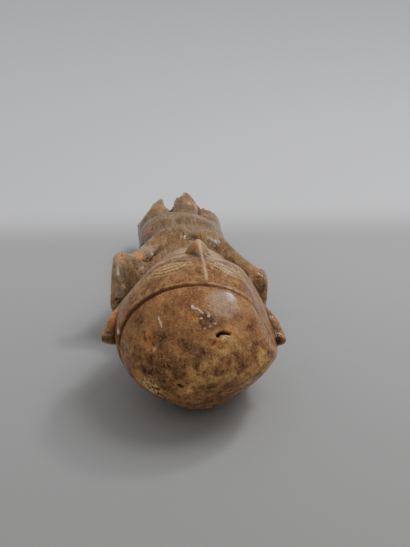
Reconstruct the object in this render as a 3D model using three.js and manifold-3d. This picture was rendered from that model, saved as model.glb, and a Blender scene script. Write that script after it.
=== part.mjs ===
// Carved male figure in dark, glossy wood, lying on its back.
// The head is large and the arms are bent, with the hands on the belly.
// Both thighs end in a splintered break.
// X runs across the figure towards its own right arm, Y from the crown to the break, Z up.
import * as THREE from "three";
import { mergeVertices } from "three/addons/utils/BufferGeometryUtils.js";
import Module from "manifold-3d";

const wasm = await Module();
wasm.setup();

// Driving sizes, in millimetres and degrees. Places along the figure are measured from its crown.
const LENGTH = 210;
const SIDE_SHIFT = 1.63;
const HEAD_ROLL = 3;
const BODY_ROLL = 7.5;
const ROLL_AXIS_HEIGHT = 20;
const PATINA = { color: 0x6b4a34, roughness: 0.38, metalness: 0.0 };

// Cranium: an egg of these half sizes.
// Broad knife flats, measured from its middle, leave the head a little lopsided.
const CRANIUM = { x: -0.4, y: 40, z: 30.3, halfWidth: 35.2, halfLength: 40, halfHeight: 30.8 };
const HEAD_FLATS = [
  { normal: [0.66, 0.24, 0.71], distance: 33.2 },
  { normal: [0.88, -0.02, 0.47], distance: 27.1 },
  { normal: [0.7, -0.33, -0.63], distance: 28.7 },
  { normal: [-0.42, -0.49, -0.76], distance: 32.1 },
  { normal: [0.02, -0.64, -0.77], distance: 33.2 },
  { normal: [0.35, -0.73, -0.59], distance: 31.6 },
  { normal: [-0.76, 0.32, 0.57], distance: 33.5 },
];
const FLAT_PRESS = 0.7;
const FLAT_SOFTNESS = 1;
const CAP_EDGE = { y: 26, lean: 0.08 };

// Each row of a form gives its place along the figure, its middle, its half width,
// and its reach up and down from the level where it is widest.
const FACE_ROWS = [
  { y: 14, x: -0.4, z: 31, half: 27.4, up: 23.6, down: 20 },
  { y: 27, x: -1.2, z: 31, half: 33.5, up: 29, down: 25 },
  { y: 40, x: -0.9, z: 32, half: 34.7, up: 30, down: 30 },
  { y: 50, x: -3.3, z: 36, half: 28.3, up: 24.8, down: 33 },
  { y: 60, x: -2, z: 38.5, half: 24.7, up: 19.2, down: 33 },
  { y: 70, x: -1.6, z: 40, half: 20.2, up: 14.6, down: 28 },
  { y: 80, x: -1.2, z: 41, half: 15.4, up: 11.6, down: 20 },
  { y: 87, x: -0.6, z: 41, half: 11, up: 8.6, down: 13 },
  { y: 91, x: 0, z: 41, half: 5.4, up: 4.6, down: 6 },
];
const NOSE_ROWS = [
  { y: 26.5, x: 0.2, z: 55, half: 1.3, up: 6, down: 4 },
  { y: 40, x: -0.1, z: 55, half: 1.4, up: 8, down: 4 },
  { y: 50, x: -0.4, z: 54, half: 1.9, up: 8.8, down: 4 },
  { y: 58, x: -0.5, z: 53, half: 3.6, up: 9.6, down: 4 },
  { y: 65, x: -0.6, z: 53, half: 6, up: 9.4, down: 4 },
  { y: 69, x: -0.6, z: 52, half: 5, up: 7, down: 4 },
];
const NOSE_POINT = 1.6;
const LEFT_EYE = { x: -14, y: 41.2, z: 58.2, half: 7.8, long: 3.2, rise: 2, tilt: -17, turn: 6 };
const RIGHT_EYE = { x: 9.8, y: 40, z: 58, half: 6.8, long: 3, rise: 2, tilt: 22, turn: -16 };
const SOCKET = { wider: 2.2, longer: 1.8, rise: 2.6, above: 2.4 };
const MOUTH = { x: -0.8, y: 79, z: 49.4, half: 6, long: 3.8, rise: 4.2 };
const EAR_ROWS = [
  { y: 36, x: 0, z: 28.5, half: 5.4, up: 1.8, down: 2.4 },
  { y: 38.5, x: -0.3, z: 28.8, half: 5.7, up: 1.8, down: 4.2 },
  { y: 44, x: -1.3, z: 30, half: 4.8, up: 5.4, down: 6.2 },
  { y: 54, x: -4.5, z: 32, half: 3.8, up: 5, down: 6.6 },
  { y: 62, x: -7.5, z: 34, half: 2.6, up: 4, down: 4 },
];
const EAR_SQUARE = 2.4;
const EAR_X = { left: -36.2, right: 31.4 };
const TORSO_ROWS = [
  { y: 62, x: 0, z: 28, half: 16, up: 12, down: 14 },
  { y: 80, x: 0, z: 26, half: 17, up: 11, down: 15 },
  { y: 87, x: -0.3, z: 24, half: 22.5, up: 11.6, down: 15.4 },
  { y: 95, x: -0.5, z: 23, half: 25.4, up: 14, down: 17 },
  { y: 104, x: -0.6, z: 22.6, half: 25.2, up: 16.2, down: 18 },
  { y: 112, x: -0.6, z: 22.4, half: 24.4, up: 16.4, down: 18 },
  { y: 122, x: -0.4, z: 22.2, half: 22.6, up: 15.4, down: 18 },
  { y: 134, x: 0, z: 22, half: 20.8, up: 15, down: 17.5 },
  { y: 148, x: 0, z: 19.5, half: 20.6, up: 15.8, down: 17 },
  { y: 164, x: -0.2, z: 19, half: 22.4, up: 16.4, down: 18 },
  { y: 176, x: -0.4, z: 18, half: 22.2, up: 13.8, down: 18 },
  { y: 183, x: -0.4, z: 17, half: 19.6, up: 10.6, down: 17 },
];
const BUTTOCK = { x: 11, y: 166, z: 10.4, half: 12.4, long: 21, rise: 12.6 };
const LEFT_SHOULDER = { x: -25.5, y: 99.4, z: 20, half: 10, long: 9.4, rise: 13.6 };
const RIGHT_SHOULDER = { x: 25, y: 96, z: 14, half: 10, long: 8.6, rise: 9.4 };
// An upper arm is a squared column that is held forward and leans towards the legs.
// Its lowest and highest levels and its x there differ by side. A row's place is a share of the way up.
const LEFT_ARM = { low: 10, high: 34.4, footX: -32.5, topX: -33.7 };
const RIGHT_ARM = { low: 6.4, high: 32.6, footX: 31.6, topX: 31.6 };
const ARM_SQUARE = 5;
const ARM_ROWS = [
  { share: 0, y: 92.6, half: 4, deep: 3.8 },
  { share: 0.12, y: 93.6, half: 5.3, deep: 5.2 },
  { share: 0.45, y: 97, half: 5.6, deep: 5.7 },
  { share: 0.84, y: 101.6, half: 5.4, deep: 5.6 },
  { share: 0.93, y: 102.6, half: 4.9, deep: 5.2 },
  { share: 1, y: 103.6, half: 3.6, deep: 3.8 },
];
// From the bent elbow, a forearm runs back down to the hand on the belly and grows wider on its way.
const FOREARM_ROWS = [
  { y: 98.5, x: 31.8, z: 30.4, half: 3, up: 2, down: 2 },
  { y: 102, x: 30, z: 31.8, half: 4.2, up: 2.2, down: 2.2 },
  { y: 107, x: 26.6, z: 32.6, half: 4.6, up: 2.4, down: 2.4 },
  { y: 114, x: 21.6, z: 32.8, half: 5.4, up: 3, down: 3.4 },
  { y: 124, x: 15, z: 33.8, half: 6.8, up: 3.6, down: 4.6 },
  { y: 131, x: 10.6, z: 34.6, half: 7, up: 4.2, down: 4.6 },
  { y: 136, x: 8.6, z: 34.6, half: 4.6, up: 3, down: 3 },
];
// The left forearm's underside is joined to the chest, and the right forearm is carved free at the elbow.
const FOREARM_DEPTH = { left: 7, right: 0 };
const HAND = { x: 9, y: 130, z: 36, half: 8.4, long: 7.6, rise: 3.9, lean: 1, tilt: 14 };
const THIGH_ROWS = [
  { y: 164, x: 11.6, z: 14, half: 10.6, up: 11, down: 15.5 },
  { y: 178, x: 12.4, z: 14.4, half: 11, up: 12, down: 15.4 },
  { y: 190, x: 13.2, z: 15, half: 10.8, up: 12.6, down: 15.6 },
  { y: 214, x: 13.4, z: 15, half: 10.4, up: 12, down: 14.4 },
];
const MEMBER_ROWS = [
  { y: 164, x: 2, z: 19, half: 9, up: 11, down: 10 },
  { y: 182, x: 2, z: 20, half: 9.4, up: 11, down: 9 },
  { y: 200, x: 2, z: 21, half: 9, up: 11, down: 7 },
  { y: 214, x: 2.6, z: 22, half: 7, up: 9, down: 6 },
];

// Every splinter is a peak of the broken end: its place across the figure,
// how far it reaches and how sharp it is.
const BREAK_FLOOR = 188;
const SPLINTERS = [
  { x: -10.6, z: 28, reach: 209.6, slope: 1.8 },
  { x: -19, z: 14, reach: 201, slope: 0.45 },
  { x: -0.5, z: 29.5, reach: 204.5, slope: 0.7 },
  { x: 4.6, z: 30.5, reach: 212, slope: 1.6 },
  { x: 10, z: 24, reach: 204, slope: 1.6 },
  { x: 17, z: 18, reach: 202, slope: 0.8 },
];
// The outer side of the left thigh is split away along this plane.
const SPLIT_SIDE = { normal: [-0.88, 0.2, 0.48], through: [-16.6, 195, 27.5] };
const NOTCH = { x: -7.3, y: 206, z: 28.5, half: 3.2, long: 16, rise: 5 };

// Sides of a form that states no other count, and the size below which a number counts as zero.
const SIDES = 28;
const TINY = 1e-9;

function clamp(value, low, high) {
  return Math.min(high, Math.max(low, value));
}

// A smooth course through the rows: the interpolant gives x, z, half, up and down at any y.
function courseThrough(rows) {
  const keys = ["x", "z", "half", "up", "down"];
  const places = rows.map((row) => row.y);
  const values = rows.flatMap((row) => keys.map((key) => row[key]));
  const course = new THREE.CubicInterpolant(places, values, keys.length);
  return (y) => {
    const found = course.evaluate(y);
    return Object.fromEntries(keys.map((key, i) => [key, found[i]]));
  };
}

// Rounds a unit circle's point towards a square, for sections with flat sides.
function squared(value, power) {
  const size = Math.abs(value) < TINY ? 0 : Math.abs(value) ** (2 / power);
  return Math.sign(value) * size;
}

// A closed form along Y: a cylinder whose every ring takes the size of its section.
function loft(rows, { sides = SIDES, steps = 2 * rows.length, power = 2 } = {}) {
  const sectionAt = courseThrough(rows);
  const first = rows[0].y;
  const length = rows.at(-1).y - first;
  const geometry = new THREE.CylinderGeometry(1, 1, 1, sides, steps);
  const places = geometry.attributes.position;
  for (let i = 0; i < places.count; i++) {
    const y = first + (places.getY(i) + 0.5) * length;
    const section = sectionAt(y);
    const across = squared(places.getX(i), power);
    const height = squared(places.getZ(i), power);
    const x = section.x + across * section.half;
    const z = section.z + height * (height > 0 ? section.up : section.down);
    places.setXYZ(i, x, y, z);
  }
  return geometry;
}

// Turns a part of the figure about a line along Y.
function rolled(geometry, degrees) {
  return geometry
    .translate(0, 0, -ROLL_AXIS_HEIGHT)
    .rotateY(THREE.MathUtils.degToRad(degrees))
    .translate(0, 0, ROLL_AXIS_HEIGHT);
}

function solid(geometry) {
  const bare = geometry.clone();
  bare.deleteAttribute("normal");
  bare.deleteAttribute("uv");
  const merged = mergeVertices(bare, 1e-4);
  return new wasm.Manifold(
    new wasm.Mesh({
      numProp: 3,
      vertProperties: merged.attributes.position.array,
      triVerts: new Uint32Array(merged.index.array),
    }),
  );
}

// Presses a form of the head against the broad knife flats.
function pressed(geometry) {
  const places = geometry.attributes.position;
  const middle = new THREE.Vector3(CRANIUM.x, CRANIUM.y, CRANIUM.z);
  const point = new THREE.Vector3();
  for (let i = 0; i < places.count; i++) {
    point.fromBufferAttribute(places, i).sub(middle);
    for (const flat of HEAD_FLATS) {
      const normal = new THREE.Vector3(...flat.normal).normalize();
      const proud = point.dot(normal) - flat.distance;
      const eased = (proud + Math.hypot(proud, FLAT_SOFTNESS)) / 2;
      point.addScaledVector(normal, -FLAT_PRESS * eased);
    }
    point.add(middle);
    places.setXYZ(i, point.x, point.y, point.z);
  }
  return geometry;
}

function cranium() {
  return new THREE.SphereGeometry(1, 36, 24)
    .scale(CRANIUM.halfWidth, CRANIUM.halfLength, CRANIUM.halfHeight)
    .translate(CRANIUM.x, CRANIUM.y, CRANIUM.z);
}

// A blade nose: a thin ridge from the cap edge that widens to a blunt tip.
function nose() {
  return loft(NOSE_ROWS, { sides: 12, steps: 14, power: NOSE_POINT });
}

// An ear: a three-cornered flap that stands off the side of the head, pointed towards the crown.
function ear(side, earX) {
  const rows = EAR_ROWS.map((row) => ({ ...row, x: earX + side * row.x }));
  return loft(rows, { sides: 14, steps: 10, power: EAR_SQUARE });
}

// A lens that lies slanted on one side of the face.
function lens({ half, long, rise, tilt, turn, x, y, z }) {
  return new THREE.SphereGeometry(1, 16, 8)
    .scale(half, long, rise)
    .rotateY(THREE.MathUtils.degToRad(tilt))
    .rotateZ(THREE.MathUtils.degToRad(turn))
    .translate(x, y, z);
}

// The hollow that an eye lies in.
function socket(eye) {
  return lens({
    ...eye,
    half: eye.half + SOCKET.wider,
    long: eye.long + SOCKET.longer,
    rise: SOCKET.rise,
    z: eye.z + SOCKET.above,
  });
}

function mouth() {
  return new THREE.SphereGeometry(1, 14, 10)
    .scale(MOUTH.half, MOUTH.long, MOUTH.rise)
    .translate(MOUTH.x, MOUTH.y, MOUTH.z);
}

// The rounded muscle that ties the upper arm to the chest.
function shoulder({ x, y, z, half, long, rise }) {
  return new THREE.SphereGeometry(1, 16, 10).scale(half, long, rise).translate(x, y, z);
}

// The column is lofted along Y and then raised, so that its levels follow Z.
function upperArm({ low, high, footX, topX }) {
  const rows = ARM_ROWS.map(({ share, y, half, deep }) => {
    const level = THREE.MathUtils.lerp(low, high, share);
    const x = THREE.MathUtils.lerp(footX, topX, share);
    return { y: level, x, z: -y, half, up: deep, down: deep };
  });
  return loft(rows, { sides: 16, steps: 10, power: ARM_SQUARE }).rotateX(Math.PI / 2);
}

function forearm(side) {
  const depth = side < 0 ? FOREARM_DEPTH.left : FOREARM_DEPTH.right;
  const rows = FOREARM_ROWS.map((row) => ({ ...row, x: side * row.x, down: row.down + depth }));
  return loft(rows, { sides: 14, steps: 12 });
}

function hand(side) {
  return new THREE.SphereGeometry(1, 16, 10)
    .scale(HAND.half, HAND.long, HAND.rise)
    .rotateY(THREE.MathUtils.degToRad(side * HAND.tilt))
    .translate(side * HAND.x + HAND.lean, HAND.y, HAND.z);
}

function buttock(side) {
  return new THREE.SphereGeometry(1, 18, 10)
    .scale(BUTTOCK.half, BUTTOCK.long, BUTTOCK.rise)
    .translate(side * BUTTOCK.x, BUTTOCK.y, BUTTOCK.z);
}

function thigh(side) {
  const rows = THIGH_ROWS.map((row) => ({ ...row, x: side * row.x }));
  return loft(rows, { sides: 20, steps: 8 });
}

function member() {
  return loft(MEMBER_ROWS, { sides: 16, steps: 8 });
}

// How far the wood still reaches at a point of the broken end.
function breakAt(x, z) {
  const reaches = SPLINTERS.map((splinter) => {
    const away = Math.hypot(x - splinter.x, z - splinter.z);
    return splinter.reach - splinter.slope * away;
  });
  return clamp(Math.max(...reaches), BREAK_FLOOR, LENGTH);
}

// The lost wood beyond the break: a block whose near face has the shape of the break.
function lostWood() {
  const wide = 60;
  const tall = 60;
  const deep = 60;
  const geometry = new THREE.BoxGeometry(wide, deep, tall, 24, 1, 24);
  geometry.translate(0, LENGTH + deep / 2, tall / 2 - 10);
  const places = geometry.attributes.position;
  for (let i = 0; i < places.count; i++) {
    if (places.getY(i) > LENGTH + 1) continue;
    places.setY(i, breakAt(places.getX(i), places.getZ(i)));
  }
  return geometry;
}

// The splinter lost from the outer side of the left thigh: a block with its near face on the split.
function lostSplinter() {
  const size = 100;
  const normal = new THREE.Vector3(...SPLIT_SIDE.normal).normalize();
  return new THREE.BoxGeometry(size, size, size)
    .translate(0, 0, size / 2)
    .applyQuaternion(new THREE.Quaternion().setFromUnitVectors(new THREE.Vector3(0, 0, 1), normal))
    .translate(...SPLIT_SIDE.through);
}

// Everything below the surface that the figure lies on. The cut leaves the flats under head, back and hips.
function ground() {
  const size = 400;
  return new THREE.BoxGeometry(size, size, size).translate(0, LENGTH / 2, -size / 2);
}

// The gap between the left stump and the middle of the broken end.
function notch() {
  return new THREE.SphereGeometry(1, 12, 10)
    .scale(NOTCH.half, NOTCH.long, NOTCH.rise)
    .translate(NOTCH.x, NOTCH.y, NOTCH.z);
}

// Everything on the crown's side of the cap edge.
function beforeCapEdge() {
  const size = 400;
  return new THREE.BoxGeometry(size, size, size)
    .translate(0, CAP_EDGE.y - size / 2, 0)
    .applyMatrix4(new THREE.Matrix4().makeShear(-CAP_EDGE.lean, 0, 0, 0, 0, 0));
}

function joined(solids) {
  return solids.reduce((sum, next) => sum.add(next));
}

function headForm() {
  const turned = (geometry) => solid(rolled(geometry, HEAD_ROLL));
  const face = turned(pressed(loft(FACE_ROWS, { sides: 32 }))).subtract(solid(beforeCapEdge()));
  const sockets = joined([LEFT_EYE, RIGHT_EYE].map((eye) => turned(socket(eye))));
  const raised = [nose(), mouth(), lens(LEFT_EYE), lens(RIGHT_EYE)];
  raised.push(ear(-1, EAR_X.left), ear(1, EAR_X.right));
  return joined([turned(pressed(cranium())).add(face).subtract(sockets), ...raised.map(turned)]);
}

function bodyForm() {
  const forms = [loft(TORSO_ROWS, { steps: 20 }), shoulder(LEFT_SHOULDER), shoulder(RIGHT_SHOULDER)];
  forms.push(upperArm(LEFT_ARM), upperArm(RIGHT_ARM));
  for (const side of [-1, 1]) forms.push(buttock(side), forearm(side), hand(side));
  return joined(forms.map((form) => solid(rolled(form, BODY_ROLL))));
}

function brokenLegs() {
  const turned = (geometry) => solid(rolled(geometry, BODY_ROLL));
  return joined([thigh(-1), thigh(1), member()].map(turned))
    .subtract(turned(lostSplinter()))
    .subtract(turned(notch()))
    .subtract(solid(lostWood()));
}

function carvedFigure() {
  return joined([headForm(), bodyForm(), brokenLegs()]).subtract(solid(ground()));
}

function geometryOf(manifold) {
  const mesh = manifold.getMesh();
  const geometry = new THREE.BufferGeometry();
  geometry.setAttribute("position", new THREE.BufferAttribute(mesh.vertProperties, 3));
  geometry.setIndex(new THREE.BufferAttribute(mesh.triVerts, 1));
  geometry.computeVertexNormals();
  return geometry;
}

const figure = new THREE.Mesh(geometryOf(carvedFigure()), new THREE.MeshStandardMaterial(PATINA));
figure.name = "carved_figure";
figure.position.set(SIDE_SHIFT, -LENGTH / 2, 0);

const group = new THREE.Group();
group.add(figure);

export default group;
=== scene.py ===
"""Carved wooden figure lying on its back: one finely relieved mesh with a worn, glossy patina."""

import math

import bpy
import numpy as np
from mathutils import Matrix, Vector


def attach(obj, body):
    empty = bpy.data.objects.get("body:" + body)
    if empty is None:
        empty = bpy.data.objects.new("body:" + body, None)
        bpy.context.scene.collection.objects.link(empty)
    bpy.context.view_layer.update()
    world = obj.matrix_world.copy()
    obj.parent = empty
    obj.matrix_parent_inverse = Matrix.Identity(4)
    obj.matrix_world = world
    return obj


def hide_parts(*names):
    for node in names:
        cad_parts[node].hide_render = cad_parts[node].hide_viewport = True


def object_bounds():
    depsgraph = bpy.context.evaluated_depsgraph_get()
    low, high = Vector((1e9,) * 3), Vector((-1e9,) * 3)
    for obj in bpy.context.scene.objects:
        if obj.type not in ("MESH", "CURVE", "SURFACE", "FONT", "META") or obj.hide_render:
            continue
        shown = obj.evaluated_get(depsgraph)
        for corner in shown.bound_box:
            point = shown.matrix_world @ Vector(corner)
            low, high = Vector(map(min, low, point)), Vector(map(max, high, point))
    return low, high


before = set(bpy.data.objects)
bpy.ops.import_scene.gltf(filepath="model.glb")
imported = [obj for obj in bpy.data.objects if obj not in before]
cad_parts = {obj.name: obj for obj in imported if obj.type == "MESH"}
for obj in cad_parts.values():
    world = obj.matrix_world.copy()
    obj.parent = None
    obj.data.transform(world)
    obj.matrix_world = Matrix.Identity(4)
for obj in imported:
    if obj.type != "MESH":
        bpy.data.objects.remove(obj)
cad_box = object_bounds()

# Sizes of the solid, in millimetres and degrees, in the same carving frame: x across the figure towards its
# own right arm, y from the crown to the break, z up from the table.
LENGTH = 210.0
SIDE_SHIFT = 1.63
HEAD_ROLL = 3.0
BODY_ROLL = 7.5
ROLL_AXIS_HEIGHT = 20.0
CRANIUM = ((-0.4, 40.0, 30.3), (35.2, 40.0, 30.8))
HEAD_FLATS = (
    ((0.66, 0.24, 0.71), 33.2),
    ((0.88, -0.02, 0.47), 27.1),
    ((0.7, -0.33, -0.63), 28.7),
    ((-0.42, -0.49, -0.76), 32.1),
    ((0.02, -0.64, -0.77), 33.2),
    ((0.35, -0.73, -0.59), 31.6),
    ((-0.76, 0.32, 0.57), 33.5),
)
FLAT_PRESS = 0.7
FLAT_SOFTNESS = 1.0
# The hairline: its place along y, its slant across the head, and how far and at what spacing it wanders.
CAP_EDGE = (26.0, 0.08)
EDGE_WANDER, EDGE_WANDER_SPACING = 0.3, 5.0

# Rows of a form: place along y, middle x and z, half width, reach up and reach down.
FACE_ROWS = (
    (14, -0.4, 31, 27.4, 23.6, 20), (27, -1.2, 31, 33.5, 29, 25), (40, -0.9, 32, 34.7, 30, 30),
    (50, -3.3, 36, 28.3, 24.8, 33), (60, -2, 38.5, 24.7, 19.2, 33), (70, -1.6, 40, 20.2, 14.6, 28),
    (80, -1.2, 41, 15.4, 11.6, 20), (87, -0.6, 41, 11, 8.6, 13), (91, 0, 41, 5.4, 4.6, 6),
)
NOSE_ROWS = (
    (26.5, 0.2, 55, 1.3, 6, 4), (40, -0.1, 55, 1.4, 8, 4), (50, -0.4, 54, 1.9, 8.8, 4),
    (58, -0.5, 53, 3.6, 9.6, 4), (65, -0.6, 53, 6, 9.4, 4), (69, -0.6, 52, 5, 7, 4),
)
NOSE_POINT = 1.6
# Eyes: middle, half sizes, tilt about y and turn about z.
LEFT_EYE = ((-14, 41.2, 58.2), (7.8, 3.2, 2.0), -17, 6)
RIGHT_EYE = ((9.8, 40, 58), (6.8, 3.0, 2.0), 22, -16)
SOCKET_GROWTH = (2.2, 1.8, 0.6, 2.4)
MOUTH = ((-0.8, 79, 49.4), (6, 3.8, 4.2))
EAR_ROWS = (
    (36, 0, 28.5, 5.4, 1.8, 2.4), (38.5, -0.3, 28.8, 5.7, 1.8, 4.2), (44, -1.3, 30, 4.8, 5.4, 6.2),
    (54, -4.5, 32, 3.8, 5, 6.6), (62, -7.5, 34, 2.6, 4, 4),
)
EAR_X = {-1: -36.2, 1: 31.4}
EAR_SQUARE = 2.4
EAR_BOWL = ((1.6, 35.4, 28.4), (4.8, 1.4, 3.2))
TORSO_ROWS = (
    (62, 0, 28, 16, 12, 14), (80, 0, 26, 17, 11, 15), (87, -0.3, 24, 22.5, 11.6, 15.4),
    (95, -0.5, 23, 25.4, 14, 17), (104, -0.6, 22.6, 25.2, 16.2, 18), (112, -0.6, 22.4, 24.4, 16.4, 18),
    (122, -0.4, 22.2, 22.6, 15.4, 18), (134, 0, 22, 20.8, 15, 17.5), (148, 0, 19.5, 20.6, 15.8, 17),
    (164, -0.2, 19, 22.4, 16.4, 18), (176, -0.4, 18, 22.2, 13.8, 18), (183, -0.4, 17, 19.6, 10.6, 17),
)
BUTTOCK = ((11, 166, 10.4), (12.4, 21, 12.6))
SHOULDERS = (((-25.5, 99.4, 20), (10, 9.4, 13.6)), ((25, 96, 14), (10, 8.6, 9.4)))
# Upper arms by side: lowest and highest level, and x there. Their rows: share of the way up, place along y,
# half width and half depth.
ARM_SPAN = {-1: (10, 34.4, -32.5, -33.7), 1: (6.4, 32.6, 31.6, 31.6)}
ARM_SQUARE = 5.0
ARM_ROWS = (
    (0, 92.6, 4.0, 3.8), (0.12, 93.6, 5.3, 5.2), (0.45, 97, 5.6, 5.7), (0.84, 101.6, 5.4, 5.6),
    (0.93, 102.6, 4.9, 5.2), (1, 103.6, 3.6, 3.8),
)
FOREARM_ROWS = (
    (98.5, 31.8, 30.4, 3, 2, 2), (102, 30, 31.8, 4.2, 2.2, 2.2), (107, 26.6, 32.6, 4.6, 2.4, 2.4),
    (114, 21.6, 32.8, 5.4, 3, 3.4), (124, 15, 33.8, 6.8, 3.6, 4.6), (131, 10.6, 34.6, 7, 4.2, 4.6),
    (136, 8.6, 34.6, 4.6, 3, 3),
)
FOREARM_DEPTH = {-1: 7.0, 1: 0.0}
HAND = ((9, 130, 36), (8.4, 7.6, 3.9), 1, 14)
THIGH_ROWS = (
    (164, 11.6, 14, 10.6, 11, 15.5), (178, 12.4, 14.4, 11, 12, 15.4), (190, 13.2, 15, 10.8, 12.6, 15.6),
    (214, 13.4, 15, 10.4, 12, 14.4),
)
MEMBER_ROWS = (
    (164, 2, 19, 9, 11, 10), (182, 2, 20, 9.4, 11, 9), (200, 2, 21, 9, 11, 7), (214, 2.6, 22, 7, 9, 6),
)
BREAK_FLOOR = 188.0
SPLINTERS = (
    (-10.6, 28, 209.6, 1.8), (-19, 14, 201, 0.45), (-0.5, 29.5, 204.5, 0.7), (4.6, 30.5, 212, 1.6),
    (10, 24, 204, 1.6), (17, 18, 202, 0.8),
)
SPLIT_SIDE = ((-0.88, 0.2, 0.48), (-16.6, 195, 27.5))
# The gap between the left stump and the middle: middle and half sizes.
NOTCH = ((-7.3, 206, 28.5), (3.2, 16, 5))
# Where along y the head and the body reach, and where the stumps and their tear begin.
HEAD_SPAN = (-9, 100)
BODY_SPAN = (58, 222)
STUMPS_FROM, TEAR_FROM = 158, 184

# How softly each form runs into what carries it.
BLEND = {
    "hairline": 0.5, "socket": 0.6, "lens": 0.2, "nose": 0.9, "mouth": 1.5, "ear": 1.2, "ear bowl": 0.6,
    "ear ends": 0.8, "arm ends": 1.4, "forearm": 1.0, "forearm ends": 0.8, "hand": 2.0, "buttock": 2.0,
    "shoulder": 3.0, "arm": 2.4, "right thigh": 6.0, "left thigh": 0.8, "notch": 0.4, "stumps": 0.5,
    "neck": 0.6,
}
# Boxes that hold all that a small form can change: middle and half sizes, or half sizes about its own middle.
EYE_BOX = (12, 8, 6)
NOSE_BOX = ((-0.4, 47, 56), (6, 22, 8))
EAR_BOX = ((2, 48, 30), (9, 14, 10))
ARM_BOX = ((19, 113, 22), (20, 26, 20))

# The grid: cell size, cells in a coarse block, its ends, how many points are reckoned at a time, how far a form
# acts beyond its box, the distance where nothing is near, and the most triangles of the finished mesh.
CELL = 0.5
COARSE = 3
GRID_LOW, GRID_HIGH = (-43.0, -3.0, -3.0), (43.0, 213.0, 67.0)
BATCH = 400000
REACH = 4.0
FAR = 60.0
FACES_KEPT = 190000
CORNERS = [(dx, dy, dz) for dx in (0, 1) for dy in (0, 1) for dz in (0, 1)]


# Noise
def hashed(i, j, k, seed):
    """A repeatable number in 0..1 for each lattice point."""
    h = (i * 374761393 + j * 668265263 + k * 2147483647 + seed * 1274126177) & 0xFFFFFFFF
    h = ((h ^ (h >> 13)) * 1274126177) & 0xFFFFFFFF
    h = ((h ^ (h >> 16)) * 2246822519) & 0xFFFFFFFF
    return ((h ^ (h >> 15)) & 0xFFFFFF) / float(0xFFFFFF)


def noise(p, size, seed=0):
    """Smooth value noise in -1..1; size is the spacing of its lattice, a number or one per axis."""
    q = p / np.asarray(size, float)
    base = np.floor(q).astype(np.int64)
    f = q - base
    f = f * f * f * (f * (f * 6 - 15) + 10)
    total = np.zeros(len(p))
    for dx in (0, 1):
        wx = f[:, 0] if dx else 1 - f[:, 0]
        for dy in (0, 1):
            wy = f[:, 1] if dy else 1 - f[:, 1]
            for dz in (0, 1):
                wz = f[:, 2] if dz else 1 - f[:, 2]
                total += wx * wy * wz * hashed(base[:, 0] + dx, base[:, 1] + dy, base[:, 2] + dz, seed)
    return 2 * total - 1


def fbm(p, size, seed=0, octaves=4):
    """Noise on several scales, each half as strong and half as wide as the one before."""
    total = np.zeros(len(p))
    reach = 0.0
    for o in range(octaves):
        total += noise(p, np.asarray(size, float) / 2**o, seed + 17 * o) / 2**o
        reach += 1 / 2**o
    return total / reach


def smooth(value, low, high):
    t = np.clip((value - low) / (high - low), 0, 1)
    return t * t * (3 - 2 * t)


# Forms as distances
def unrolled(p, degrees):
    """Points of the lying figure, turned back into the frame that a part was drawn in."""
    c, s = math.cos(math.radians(degrees)), math.sin(math.radians(degrees))
    x, z = p[:, 0], p[:, 2] - ROLL_AXIS_HEIGHT
    return np.stack([x * c - z * s, p[:, 1], ROLL_AXIS_HEIGHT + x * s + z * c], 1)


def ellipsoid(p, middle, half):
    q = p - np.asarray(middle, float)
    s = np.asarray(half, float)
    k0 = np.linalg.norm(q / s, axis=1)
    k1 = np.maximum(np.linalg.norm(q / s**2, axis=1), 1e-9)
    return k0 * (k0 - 1) / k1


def spun(p, middle, tilt, turn):
    """Undoes a turn about z after a tilt about y, both about the middle."""
    q = p - np.asarray(middle, float)
    c, s = math.cos(math.radians(turn)), math.sin(math.radians(turn))
    q = np.stack([c * q[:, 0] + s * q[:, 1], -s * q[:, 0] + c * q[:, 1], q[:, 2]], 1)
    c, s = math.cos(math.radians(tilt)), math.sin(math.radians(tilt))
    return np.stack([c * q[:, 0] - s * q[:, 2], q[:, 1], s * q[:, 0] + c * q[:, 2]], 1)


COURSES = {}


def course(rows, samples=1200):
    """The same smooth course through rows as the solid's: a cubic that passes every row."""
    if rows in COURSES:
        return COURSES[rows]
    table = np.asarray(rows, float)
    t, v = table[:, 0], table[:, 1:]
    y = np.linspace(t[0], t[-1], samples)
    i = np.clip(np.searchsorted(t, y, side="right"), 1, len(t) - 1)
    before = np.where(i >= 2, i - 2, i)
    after = np.where(i + 1 < len(t), i + 1, i - 1)
    t0, t1 = t[i - 1], t[i]
    half = (t1 - t0) / 2
    wp = half / (t0 - t[before])
    wn = half / (t[after] - t1)
    p = (y - t0) / (t1 - t0)
    p2, p3 = p * p, p * p * p
    sp = -wp * p3 + 2 * wp * p2 - wp * p
    s0 = (1 + wp) * p3 + (-1.5 - 2 * wp) * p2 + (-0.5 + wp) * p + 1
    s1 = (-1 - wn) * p3 + (1.5 + wn) * p2 + 0.5 * p
    sn = wn * p3 - wn * p2
    values = sp[:, None] * v[before] + s0[:, None] * v[i - 1] + s1[:, None] * v[i] + sn[:, None] * v[after]
    COURSES[rows] = (y, values)
    return y, values


def loft(p, rows, power=2.0, ends=0.0):
    y, values = course(rows)
    x, z, half, up, down = (np.interp(p[:, 1], y, column) for column in values.T)
    dx = p[:, 0] - x
    dz = p[:, 2] - z
    rise = np.where(dz > 0, up, down)
    a = np.abs(dx) / half
    b = np.abs(dz) / rise
    g = np.maximum((a**power + b**power) ** (1 / power), 1e-6)
    slope = g ** (1 - power) * np.sqrt((a ** (power - 1) / half) ** 2 + (b ** (power - 1) / rise) ** 2)
    side = (g - 1) / np.maximum(slope, 0.5 / np.maximum(half, rise))
    return cut(side, -np.maximum(y[0] - p[:, 1], p[:, 1] - y[-1]), ends)


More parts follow.
